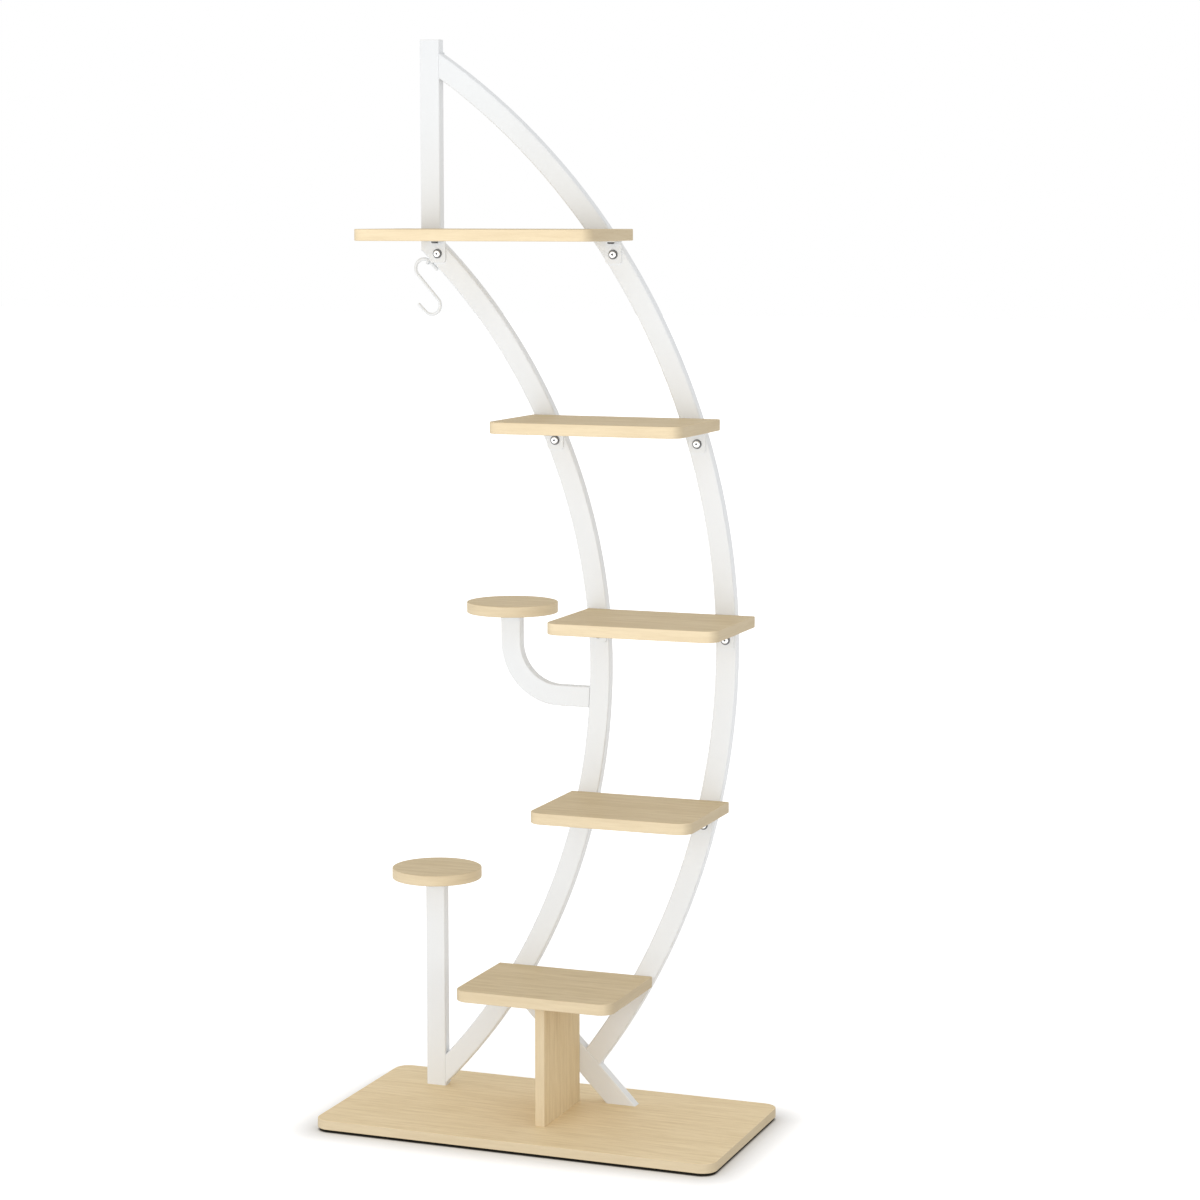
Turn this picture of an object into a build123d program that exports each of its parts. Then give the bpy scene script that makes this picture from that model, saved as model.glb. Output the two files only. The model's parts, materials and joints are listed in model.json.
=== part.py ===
from build123d import *
import math
import os
from dataclasses import dataclass

# Tiered plant stand: a flat frame of bent rectangular tube on a wooden base, with shelves in front of it.
# Millimetres. X runs to the right, Y to the back, Z up. The origin is on the floor under the base's centre.
# Heights named "..._height" are measured from the top of the base board.

# Base board and its feet
base_length = 742.0
base_depth = 375.0
base_thickness = 17.0
base_corner_radius = 27.0
foot_height = 5.0
foot_diameter = 32.0
foot_inset = 45.0
foot_chamfer = 1.0

# Boards
board_thickness = 20.0
board_corner_radius = 25.0
board_edge_round = 1.5
shelf_depth = 214.0

# Shelf heights, to the top of the board, and how far each board runs past the two arcs' lines
top_shelf_height = 1554.5
top_shelf_left = 70.5
top_shelf_right = 35.5
upper_shelf_height = 1231.0
upper_shelf_left = 43.5
upper_shelf_right = 40.5
middle_shelf_height = 893.0
middle_shelf_left = 19.5
middle_shelf_right = 52.5
lower_shelf_height = 565.0
lower_shelf_left = 20.0
lower_shelf_right = 46.0

# Bottom shelf on its upright panel
bottom_shelf_height = 240.5
bottom_shelf_length = 292.0
panel_spread = 272.5
panel_thickness = 18.0
panel_depth = 171.0

# Round trays
tray_diameter = 162.0
tray_thickness = 19.0
upper_tray_spread = 150.0
upper_tray_height = 897.0
lower_tray_height = 404.5
tray_plate_diameter = 64.0
tray_plate_thickness = 3.0
tray_plate_chamfer = 0.75
tray_screw_circle = 48.0
tray_screw_count = 4

# Frame tube, and how far its front face stands in front of the base's back edge
tube_width = 37.0
tube_depth = 20.0
tube_wall = 1.5
tube_corner = 2.0
bore_corner_least = 0.5
frame_setback = 102.5

# Posts, brace and tray arm. Each "..._spread" is measured to the right from the middle of the posts.
post_inset = 117.5
post_height = 1883.0
cap_thickness = 2.0
cap_round = 1.0
cap_plug_length = 14.0
brace_width = 40.0
brace_spread = 359.4
brace_angle = 45.8
arm_drop = 163.0
arm_bend_radius = 92.0
foot_plate_thickness = 3.0

# Arcs: the widest point of each centreline and the radius above and below it
inner_spread = 319.2
inner_widest_height = 787.5
inner_upper_radius = 1010.0
inner_lower_radius = 1101.5
outer_spread = 552.9
outer_widest_height = 831.0
outer_upper_radius = 1215.5
outer_lower_radius = 1255.5

# Joiners inside the arcs, behind the middle shelf
joint_below_shelf_top = 10.0
joiner_up = 55.0
joiner_down = 24.0
joiner_wall = 2.0
joiner_screw_inset = 12.0

# Shelf brackets
bracket_width = 30.0
bracket_drop = 40.0
bracket_reach = 28.0
bracket_thickness = 2.5
bracket_corner = 6.0
frame_bolt_drop = 24.0
shelf_bolt_setback = 14.0

# Bolts, nuts and screws
bolt_diameter = 6.0
bolt_head_diameter = 12.5
bolt_head_height = 3.4
bolt_socket = 4.0
bolt_dome_share = 0.6
bolt_socket_share = 0.65
frame_bolt_length = 16.0
shelf_bolt_length = 13.0
washer_diameter = 16.5
washer_thickness = 1.2
tube_nut_diameter = 9.0
tube_nut_length = 13.0
insert_diameter = 10.0
insert_length = 12.0
joiner_screw_diameter = 5.0
joiner_screw_head = 9.5
joiner_screw_length = 7.0
tray_screw_diameter = 4.0
tray_screw_head = 8.0
tray_screw_length = 16.0
base_screw_diameter = 5.0
base_screw_head = 10.0
base_screw_tip = 3.0
base_screw_offset = 9.0
panel_screw_length = 50.0
panel_screw_offset = 45.0
rear_screw_diameter = 4.5
rear_screw_head = 9.0
rear_screw_bite = 28.0
screw_head_height = 2.5
dowel_diameter = 8.0
dowel_in_shelf = 12.0
dowel_in_panel = 18.0
dowel_spacing = 60.0

# Hanging hook and the eye that carries it
hook_wire = 6.0
hook_loop_radius = 16.5
hook_loop_shift = 14.0
hook_loop_drop = 65.0
hook_flare_angle = 45.0
hook_flare_length = 20.0
hook_tip_round = 1.5
eye_wire = 4.0
eye_height = 1493.0
eye_drop = 11.0
eye_bend_radius = 2.5
eye_side_gap = 0.7
hook_gap = 0.3

# Clearances
thread_gap = 0.05
hole_gap = 0.3
slide_gap = 0.4
plug_gap = 0.1

# How far a cut runs past the faces it goes through
cut_over = 3.0

# Levels and places that follow from the sizes above
base_top = foot_height + base_thickness
frame_front_y = base_depth / 2 - frame_setback
frame_y = frame_front_y + tube_depth / 2
frame_back_y = frame_front_y + tube_depth
shelf_front_y = frame_front_y - shelf_depth
post_x = -base_length / 2 + post_inset
post_left = post_x - tube_width / 2
post_right = post_x + tube_width / 2
inner_reach = post_x + inner_spread
outer_reach = post_x + outer_spread
brace_foot_x = post_x + brace_spread
panel_x = post_x + panel_spread
upper_tray_x = post_x + upper_tray_spread
arm_level_z = base_top + upper_tray_height - arm_drop
bottom_shelf_underside = base_top + bottom_shelf_height - board_thickness


@dataclass
class Bow:
    """A centreline of two arcs that share an upright tangent at their widest point."""

    reach: float
    level: float
    upper: float
    lower: float

    def radius(self, above):
        return self.upper if above else self.lower

    def centre_x(self, above):
        return self.reach - self.radius(above)

    def x_at(self, z, offset=0.0):
        """X at a height, on the line that lies an offset outside the centreline."""
        above = z > self.level
        rise = z - self.level
        return self.centre_x(above) + math.sqrt((self.radius(above) + offset) ** 2 - rise ** 2)

    def z_at(self, x, above, offset=0.0):
        """Height at an X, on the line that lies an offset outside the centreline."""
        run = x - self.centre_x(above)
        rise = math.sqrt((self.radius(above) + offset) ** 2 - run ** 2)
        return self.level + rise if above else self.level - rise

    def angle_at(self, z):
        """Angle from level of the centreline's radius at a height, in degrees."""
        return math.degrees(math.asin((z - self.level) / self.radius(z > self.level)))


inner = Bow(inner_reach, base_top + inner_widest_height, inner_upper_radius, inner_lower_radius)
outer = Bow(outer_reach, base_top + outer_widest_height, outer_upper_radius, outer_lower_radius)
joint_z = base_top + middle_shelf_height - joint_below_shelf_top


@dataclass
class Shelf:
    """A bracketed shelf: the height of its top and how far it runs past the two arcs."""

    height: float
    left: float
    right: float

    @property
    def top(self):
        return base_top + self.height

    @property
    def underside(self):
        return self.top - board_thickness

    @property
    def bolt_z(self):
        return self.underside - frame_bolt_drop

    def bolt_x(self, side):
        bow = inner if side == "left" else outer
        return bow.x_at(self.bolt_z)


shelves = {
    "top": Shelf(top_shelf_height, top_shelf_left, top_shelf_right),
    "upper": Shelf(upper_shelf_height, upper_shelf_left, upper_shelf_right),
    "middle": Shelf(middle_shelf_height, middle_shelf_left, middle_shelf_right),
    "lower": Shelf(lower_shelf_height, lower_shelf_left, lower_shelf_right),
}
sides = ("left", "right")


def rod(start, end, radius):
    """Round bar between two points."""
    line = Vector(*end) - Vector(*start)
    return extrude(Plane(origin=start, z_dir=line) * Circle(radius), amount=line.length)


def rod_y(x, z, y_from, y_to, radius):
    return rod((x, y_from, z), (x, y_to, z), radius)


def rod_z(x, y, z_from, z_to, radius):
    return rod((x, y, z_from), (x, y, z_to), radius)


def keep_side(part, point, direction):
    """The part of a solid that lies on one side of a plane."""
    return split(part, bisect_by=Plane(origin=point, z_dir=direction), keep=Keep.TOP)


def solid_section(width=tube_width):
    """The whole outline of a tube."""
    return RectangleRounded(width, tube_depth, tube_corner)


def bore_section(clearance=0.0, width=tube_width):
    """The inside of a tube, less a clearance all round."""
    shrink = 2 * (tube_wall + clearance)
    return RectangleRounded(width - shrink, tube_depth - shrink, max(tube_corner - tube_wall, bore_corner_least))


def tube_section(width=tube_width):
    return solid_section(width) - bore_section(width=width)


def joiner_section():
    """A smaller tube that slides inside the frame tube."""
    shrink = 2 * (tube_wall + slide_gap + joiner_wall)
    return bore_section(slide_gap) - Rectangle(tube_width - shrink, tube_depth - shrink)


def straight_run(start, end, section):
    """Extrude a section between two (x, z) points of the frame's plane."""
    run_x = end[0] - start[0]
    run_z = end[1] - start[1]
    plane = Plane(origin=(start[0], frame_y, start[1]), x_dir=(run_z, 0, -run_x), z_dir=(run_x, 0, run_z))
    return extrude(plane * section, amount=math.hypot(run_x, run_z))


def arc_run(centre, radius, start, end, section):
    """Turn a section about an (x, z) centre, between two angles from level in degrees."""
    angle = math.radians(start)
    across = (math.cos(angle), 0, math.sin(angle))
    along = (-math.sin(angle), 0, math.cos(angle))
    origin = (centre[0] + radius * across[0], frame_y, centre[1] + radius * across[2])
    plane = Plane(origin=origin, x_dir=across, z_dir=along)
    turn_axis = Axis((centre[0], frame_y, centre[1]), (0, -1, 0))
    return revolve(plane * section, turn_axis, end - start)


def bow_run(bow, z_from, z_to, section):
    """A section along a bow, between two heights."""
    start = bow.angle_at(z_from)
    end = bow.angle_at(z_to)
    upper = (bow.centre_x(True), bow.level)
    lower = (bow.centre_x(False), bow.level)
    if start >= 0:
        return arc_run(upper, bow.upper, start, end, section)
    if end <= 0:
        return arc_run(lower, bow.lower, start, end, section)
    return arc_run(lower, bow.lower, start, 0, section) + arc_run(upper, bow.upper, 0, end, section)


def disc(bow, above, offset):
    """A thick disc whose rim is the bow's line at an offset outside the centreline."""
    radius = bow.radius(above) + offset
    return rod_y(bow.centre_x(above), bow.level, frame_front_y - cut_over, frame_back_y + cut_over, radius)


def board(x_from, x_to, y_from, y_to, top, thickness, front_radius, back_radius):
    """A board with rounded corners, seen from above, and softened edges."""
    outline = Pos((x_from + x_to) / 2, (y_from + y_to) / 2) * Rectangle(x_to - x_from, y_to - y_from)
    corners = outline.vertices().sort_by(Axis.Y)
    outline = fillet(corners[:2], front_radius)
    if back_radius > 0:
        outline = fillet(outline.vertices().sort_by(Axis.Y)[-2:], back_radius)
    slab = Pos(0, 0, top - thickness) * extrude(outline, amount=thickness)
    rims = slab.faces().sort_by(Axis.Z)
    return fillet(rims[0].edges() + rims[-1].edges(), board_edge_round)


def button_bolt(length, diameter, head_diameter, head_height, socket):
    """A domed bolt that points up, the underside of its head at the origin."""
    head = Pos(0, 0, -head_height) * extrude(Circle(head_diameter / 2), amount=head_height)
    head = fillet(head.faces().sort_by(Axis.Z)[0].edges(), head_height * bolt_dome_share)
    key = RegularPolygon(socket / 2, 6, major_radius=False)
    head -= Pos(0, 0, -head_height) * extrude(key, amount=head_height * bolt_socket_share)
    return head + extrude(Circle(diameter / 2), amount=length)


def countersunk_screw(length, diameter, head_diameter):
    """A flat-headed screw that points up, the top of its head at the origin."""
    depth = (head_diameter - diameter) / 2
    head = Pos(0, 0, depth / 2) * Cone(head_diameter / 2, diameter / 2, depth)
    return head + Pos(0, 0, depth) * extrude(Circle(diameter / 2), amount=length - depth)


def point_back(part):
    """Turn a fastener that points up so that it points to the back."""
    return Rot(-90, 0, 0) * part


def point_front(part):
    """Turn a fastener that points up so that it points to the front."""
    return Rot(90, 0, 0) * part


def bolt_places():
    """The (x, z) of each bolt that holds a bracket to the frame."""
    return [(shelf.bolt_x(side), shelf.bolt_z) for shelf in shelves.values() for side in sides]


def drill_nut_holes(tube, bow_side, upper):
    """Cut the front wall for the nuts of one arc, above or below its joint."""
    for shelf in shelves.values():
        if (shelf.bolt_z > joint_z) == upper:
            x = shelf.bolt_x(bow_side)
            hole = tube_nut_diameter / 2 + thread_gap
            tube -= rod_y(x, shelf.bolt_z, frame_front_y - cut_over, frame_front_y + tube_wall + cut_over, hole)
    return tube


def joiner_screw_z():
    return joint_z - joiner_screw_inset


def drill_joiner_screw(part, bow):
    """Cut the back wall for the screw that holds an arc's joiner."""
    radius = joiner_screw_diameter / 2 + thread_gap
    z = joiner_screw_z()
    return part - rod_y(bow.x_at(z), z, frame_back_y + cut_over, frame_y, radius)


def mitre_points():
    """Where the inner arc's two edges meet the sides of the upper post."""
    low = inner.z_at(post_left, True, -tube_width / 2)
    high = inner.z_at(post_right, True, tube_width / 2)
    return (post_left, low), (post_right, high)


def mitre_plane():
    """A point on the cut between post and inner arc, and the direction that points up out of the arc."""
    low, high = mitre_points()
    return (low[0], frame_y, low[1]), (low[1] - high[1], 0, high[0] - low[0])


def post_top():
    return base_top + post_height


def make_base_board():
    slab = board(-base_length / 2, base_length / 2, -base_depth / 2, base_depth / 2,
                 base_top, base_thickness, base_corner_radius, base_corner_radius)
    for x, y in base_screw_places():
        slab -= countersink(x, y, base_screw_diameter, base_screw_head)
    for x, y in panel_screw_places():
        slab -= countersink(x, y, base_screw_diameter, base_screw_head)
    return slab


def countersink(x, y, diameter, head_diameter):
    """The hole in the base board for a flat-headed screw from below."""
    depth = (head_diameter - diameter) / 2
    cone = Cone(head_diameter / 2 + hole_gap, diameter / 2 + hole_gap, depth)
    hole = rod_z(x, y, foot_height - cut_over, base_top + cut_over, diameter / 2 + hole_gap)
    return hole + Pos(x, y, foot_height + depth / 2) * cone


def base_screw_places():
    """Two screws under the lower post and two under the brace."""
    feet = (post_x, brace_foot_x)
    return [(x + sign * base_screw_offset, frame_y) for x in feet for sign in (-1, 1)]


def panel_screw_places():
    middle = frame_front_y - panel_depth / 2
    return [(panel_x, middle + sign * panel_screw_offset) for sign in (-1, 1)]


def foot_places():
    """Six pads: one near each corner and one under the middle of each long edge."""
    reach = base_length / 2 - foot_inset
    depth = base_depth / 2 - foot_inset
    names = {"left": -reach, "middle": 0.0, "right": reach}
    rows = {"front": -depth, "back": depth}
    return {f"foot_{row}_{name}": (x, y) for row, y in rows.items() for name, x in names.items()}


def make_foot(x, y):
    pad = rod_z(x, y, 0, foot_height, foot_diameter / 2)
    return chamfer(pad.faces().sort_by(Axis.Z)[0].edges(), foot_chamfer)


def make_main_post():
    low, _ = mitre_points()
    tube = straight_run((post_x, low[1] - tube_width), (post_x, post_top() - cap_thickness), tube_section())
    point, up = mitre_plane()
    return keep_side(tube, point, up)


def make_post_cap():
    plate = straight_run((post_x, post_top() - cap_thickness), (post_x, post_top()), solid_section())
    plate = fillet(plate.faces().sort_by(Axis.Z)[-1].edges(), cap_round)
    plug_foot = post_top() - cap_thickness - cap_plug_length
    plug = straight_run((post_x, plug_foot), (post_x, post_top() - cap_thickness), bore_section(plug_gap))
    return plate + plug


def make_inner_arc_upper():
    _, high = mitre_points()
    tube = bow_run(inner, joint_z, high[1] + tube_width, tube_section())
    point, up = mitre_plane()
    tube = keep_side(tube, point, (-up[0], 0, -up[2]))
    return drill_nut_holes(tube, "left", True)


def make_inner_arc_lower():
    foot = inner.z_at(post_right, False) - tube_width
    tube = bow_run(inner, foot, joint_z, tube_section())
    tube = keep_side(tube, (post_right, frame_y, base_top), (1, 0, 0))
    tube = keep_side(tube, (post_right, frame_y, base_top), (0, 0, 1))
    tube = drill_nut_holes(tube, "left", False)
    for x, z in rear_screw_places()[:1]:
        tube -= rod_y(x, z, frame_front_y - cut_over, frame_back_y + cut_over, rear_screw_diameter / 2 + hole_gap)
    return drill_joiner_screw(tube, inner)


def make_outer_arc_upper():
    head = outer.z_at(post_right, True) + tube_width
    tube = bow_run(outer, joint_z, head, tube_section())
    tube = keep_side(tube, (post_right, frame_y, joint_z), (1, 0, 0))
    return drill_nut_holes(tube, "right", True)


def brace_direction():
    """The way up along the brace, from its foot on the base towards the inner arc."""
    angle = math.radians(brace_angle)
    return -math.cos(angle), math.sin(angle)


def make_outer_arc_lower():
    run_x, run_z = brace_direction()
    top_x = brace_foot_x + run_z * brace_width / 2
    top_z = base_top - run_x * brace_width / 2
    tube = bow_run(outer, base_top, joint_z, tube_section())
    tube = keep_side(tube, (top_x, frame_y, top_z), (run_z, 0, -run_x))
    tube = drill_nut_holes(tube, "right", False)
    return drill_joiner_screw(tube, outer)


def make_joiner(bow):
    joiner = bow_run(bow, joint_z - joiner_down, joint_z + joiner_up, joiner_section())
    return drill_joiner_screw(joiner, bow)


def make_lower_post():
    return straight_run((post_x, base_top), (post_x, lower_plate_underside()), tube_section())


def lower_plate_underside():
    return base_top + lower_tray_height - tray_thickness - tray_plate_thickness


def upper_plate_underside():
    return base_top + upper_tray_height - tray_thickness - tray_plate_thickness


def brace_run(section):
    """The brace, longer than it needs to be at both ends."""
    run_x, run_z = brace_direction()
    overlap = 2 * brace_width
    length = (brace_foot_x - post_right) / abs(run_x)
    start = (brace_foot_x - run_x * overlap, base_top - run_z * overlap)
    end = (brace_foot_x + run_x * length, base_top + run_z * length)
    return straight_run(start, end, section)


def make_brace():
    tube = brace_run(tube_section(brace_width))
    tube = keep_side(tube, (brace_foot_x, frame_y, base_top), (0, 0, 1))
    tube -= disc(inner, False, tube_width / 2)
    for x, z in rear_screw_places()[1:]:
        tube -= rod_y(x, z, frame_front_y - cut_over, frame_back_y + cut_over, rear_screw_diameter / 2 + hole_gap)
    return tube


def make_tray_arm():
    level = arm_level_z
    bend = (upper_tray_x + arm_bend_radius, level + arm_bend_radius)
    upright = straight_run((upper_tray_x, bend[1]), (upper_tray_x, upper_plate_underside()), tube_section())
    turn = arc_run(bend, arm_bend_radius, 180, 270, tube_section())
    arm = straight_run((bend[0], level), (inner_reach, level), tube_section())
    return upright + turn + (arm & disc(inner, False, -tube_width / 2))


def make_foot_plate(run, x):
    """A plate inside a tube's foot, tapped for the screws from below."""
    slab = Pos(x, frame_y, base_top + foot_plate_thickness / 2) * Box(
        4 * brace_width, 2 * tube_depth, foot_plate_thickness)
    plate = run & slab
    for sign in (-1, 1):
        hole = base_screw_diameter / 2 + thread_gap
        plate -= rod_z(x + sign * base_screw_offset, frame_y, base_top - cut_over,
                       base_top + foot_plate_thickness + cut_over, hole)
    return plate


def make_lower_post_plate():
    run = straight_run((post_x, base_top - tube_width), (post_x, base_top + tube_width), bore_section(plug_gap))
    return make_foot_plate(run, post_x)


def make_brace_plate():
    return make_foot_plate(brace_run(bore_section(plug_gap, brace_width)), brace_foot_x)


def make_shelf(shelf):
    x_from = shelf.bolt_x("left") - shelf.left
    x_to = shelf.bolt_x("right") + shelf.right
    slab = board(x_from, x_to, shelf_front_y, frame_front_y, shelf.top, board_thickness, board_corner_radius, 0)
    for side in sides:
        x = shelf.bolt_x(side)
        slab -= rod_z(x, shelf_bolt_y(), shelf.underside - cut_over, shelf.underside + insert_length + thread_gap,
                      insert_diameter / 2 + thread_gap)
    return slab


def shelf_bolt_y():
    return frame_front_y - shelf_bolt_setback


def make_bottom_shelf():
    slab = board(panel_x - bottom_shelf_length / 2, panel_x + bottom_shelf_length / 2, shelf_front_y, frame_front_y,
                 base_top + bottom_shelf_height, board_thickness, board_corner_radius, 0)
    for dowel in dowel_solids(thread_gap):
        slab -= dowel
    x, z = rear_screw_places()[0]
    return slab - rod_y(x, z, frame_back_y, frame_front_y - rear_screw_bite - hole_gap,
                        rear_screw_diameter / 2 + thread_gap)


def make_support_panel():
    height = bottom_shelf_underside - base_top
    middle = frame_front_y - panel_depth / 2
    slab = Pos(panel_x, middle, base_top + height / 2) * Box(panel_thickness, panel_depth, height)
    slab = fillet(slab.edges().filter_by(Axis.Z), board_edge_round)
    for dowel in dowel_solids(thread_gap):
        slab -= dowel
    for x, y in panel_screw_places():
        tip = foot_height + panel_screw_length + hole_gap
        slab -= rod_z(x, y, base_top - cut_over, tip, base_screw_diameter / 2 + thread_gap)
    x, z = rear_screw_places()[1]
    return slab - rod_y(x, z, frame_back_y, frame_front_y - rear_screw_bite - hole_gap,
                        rear_screw_diameter / 2 + thread_gap)


def dowel_solids(grow=0.0):
    """The glued dowels between the bottom shelf and its panel, or their holes with a clearance."""
    middle = frame_front_y - panel_depth / 2
    low = bottom_shelf_underside - dowel_in_panel - grow
    high = bottom_shelf_underside + dowel_in_shelf + grow
    return [rod_z(panel_x, middle + step * dowel_spacing, low, high, dowel_diameter / 2 + grow)
            for step in (-1, 0, 1)]


def rear_screw_places():
    """One screw through the inner arc into the bottom shelf and one through the brace into the panel."""
    shelf_z = base_top + bottom_shelf_height - board_thickness / 2
    run_x, run_z = brace_direction()
    panel_z = base_top + (panel_x - brace_foot_x) * run_z / run_x
    return [(inner.x_at(shelf_z), shelf_z), (panel_x, panel_z)]


def rear_screws():
    length = tube_depth + rear_screw_bite
    screw = button_bolt(length, rear_screw_diameter, rear_screw_head, screw_head_height, rear_screw_diameter / 2)
    return [Pos(x, frame_back_y, z) * point_front(screw) for x, z in rear_screw_places()]


def make_tray(x, height):
    top = base_top + height
    disc_solid = rod_z(x, frame_y, top - tray_thickness, top, tray_diameter / 2)
    rims = disc_solid.faces().sort_by(Axis.Z)
    disc_solid = fillet(rims[0].edges() + rims[-1].edges(), board_edge_round)
    for sx, sy in tray_screw_places(x):
        depth = tray_screw_length - tray_plate_thickness + hole_gap
        hole = rod_z(sx, sy, top - tray_thickness - cut_over, top - tray_thickness + depth,
                     tray_screw_diameter / 2 + thread_gap)
        disc_solid -= hole
    return disc_solid


def tray_screw_places(x):
    """Screws on a circle, turned to stand clear of the tube."""
    radius = tray_screw_circle / 2
    turns = [math.tau * (step + 0.5) / tray_screw_count for step in range(tray_screw_count)]
    return [(x + radius * math.cos(turn), frame_y + radius * math.sin(turn)) for turn in turns]


def make_tray_plate(x, underside):
    plate = rod_z(x, frame_y, underside, underside + tray_plate_thickness, tray_plate_diameter / 2)
    plate = chamfer(plate.faces().sort_by(Axis.Z)[0].edges(), tray_plate_chamfer)
    for sx, sy in tray_screw_places(x):
        plate -= rod_z(sx, sy, underside - cut_over, underside + tray_plate_thickness + cut_over,
                       tray_screw_diameter / 2 + hole_gap)
    return plate


def tray_screws():
    screw = button_bolt(tray_screw_length, tray_screw_diameter, tray_screw_head, screw_head_height,
                        tray_screw_diameter / 2)
    plates = ((upper_tray_x, upper_plate_underside()), (post_x, lower_plate_underside()))
    return [Pos(sx, sy, z) * screw for x, z in plates for sx, sy in tray_screw_places(x)]


def make_bracket(shelf, side):
    """An angle bracket: one leg under the shelf, the other on the front of the tube."""
    x = shelf.bolt_x(side)
    left = x - bracket_width / 2
    leg = Pos(x, frame_front_y - bracket_thickness / 2, shelf.underside - bracket_drop / 2) * Box(
        bracket_width, bracket_thickness, bracket_drop)
    leg = fillet(leg.edges().filter_by(Axis.Y).sort_by(Axis.Z)[:2], bracket_corner)
    shelf_leg = Pos(x, frame_front_y - bracket_reach / 2, shelf.underside - bracket_thickness / 2) * Box(
        bracket_width, bracket_reach, bracket_thickness)
    shelf_leg = fillet(shelf_leg.edges().filter_by(Axis.Z).sort_by(Axis.Y)[:2], bracket_corner)
    bend_y = frame_front_y - bracket_thickness
    bend_z = shelf.underside - bracket_thickness
    corner = Plane(origin=(left, bend_y, bend_z), x_dir=(0, -1, 0), z_dir=(1, 0, 0)) * (
        Pos(bracket_thickness / 2, -bracket_thickness / 2) * Rectangle(bracket_thickness, bracket_thickness)
        - Pos(bracket_thickness, -bracket_thickness) * Circle(bracket_thickness))
    bracket = leg + shelf_leg + extrude(corner, amount=bracket_width)
    hole = bolt_diameter / 2 + hole_gap
    bracket -= rod_y(x, shelf.bolt_z, frame_front_y - bracket_thickness - cut_over, frame_front_y + cut_over, hole)
    return bracket - rod_z(x, shelf_bolt_y(), shelf.underside - bracket_thickness - cut_over,
                           shelf.underside + cut_over, hole)


def frame_bolts():
    bolt = button_bolt(frame_bolt_length, bolt_diameter, bolt_head_diameter, bolt_head_height, bolt_socket)
    y = frame_front_y - bracket_thickness - washer_thickness
    return [Pos(x, y, z) * point_back(bolt) for x, z in bolt_places()]


def bolt_washers():
    y = frame_front_y - bracket_thickness
    ring = Circle(washer_diameter / 2) - Circle(bolt_diameter / 2 + hole_gap)
    washer = extrude(ring, amount=washer_thickness)
    return [Pos(x, y, z) * point_front(washer) for x, z in bolt_places()]


def tube_nuts():
    sleeve = Circle(tube_nut_diameter / 2) - Circle(bolt_diameter / 2 + thread_gap)
    nut = extrude(sleeve, amount=tube_nut_length)
    return [Pos(x, frame_front_y, z) * point_back(nut) for x, z in bolt_places()]


def shelf_bolts():
    bolt = button_bolt(shelf_bolt_length, bolt_diameter, bolt_head_diameter, bolt_head_height, bolt_socket)
    return [Pos(shelf.bolt_x(side), shelf_bolt_y(), shelf.underside - bracket_thickness) * bolt
            for shelf in shelves.values() for side in sides]


def shelf_inserts():
    sleeve = Circle(insert_diameter / 2) - Circle(bolt_diameter / 2 + thread_gap)
    insert = extrude(sleeve, amount=insert_length)
    return [Pos(shelf.bolt_x(side), shelf_bolt_y(), shelf.underside) * insert
            for shelf in shelves.values() for side in sides]


def joiner_screws():
    screw = button_bolt(joiner_screw_length, joiner_screw_diameter, joiner_screw_head, screw_head_height,
                        joiner_screw_diameter / 2)
    z = joiner_screw_z()
    return [Pos(bow.x_at(z), frame_back_y, z) * point_front(screw) for bow in (inner, outer)]


def base_screws():
    length = base_thickness + foot_plate_thickness + base_screw_tip
    screw = countersunk_screw(length, base_screw_diameter, base_screw_head)
    return [Pos(x, y, foot_height) * screw for x, y in base_screw_places()]


def panel_screws():
    screw = countersunk_screw(panel_screw_length, base_screw_diameter, base_screw_head)
    return [Pos(x, y, foot_height) * screw for x, y in panel_screw_places()]


def eye_centre():
    """The (x, z) of the eye's bar, out from the hollow side of the inner arc."""
    z = base_top + eye_height
    return inner.x_at(z, -tube_width / 2 - eye_drop), z


def make_hook_eye():
    x, z = eye_centre()
    run_x = x - inner.centre_x(True)
    run_z = z - inner.level
    size = math.hypot(run_x, run_z)
    out = Vector(run_x / size, 0, run_z / size)
    half = hook_wire / 2 + eye_side_gap + eye_wire / 2
    near = Vector(x, frame_y - half, z)
    far = Vector(x, frame_y + half, z)
    root = out * (eye_drop + tube_wall)
    path = FilletPolyline(near + root, near, far, far + root, radius=eye_bend_radius)
    staple = sweep(Plane(origin=path @ 0, z_dir=path % 0) * Circle(eye_wire / 2), path=path)
    return staple - bow_run(inner, z - tube_width, z + tube_width, solid_section())


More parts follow.
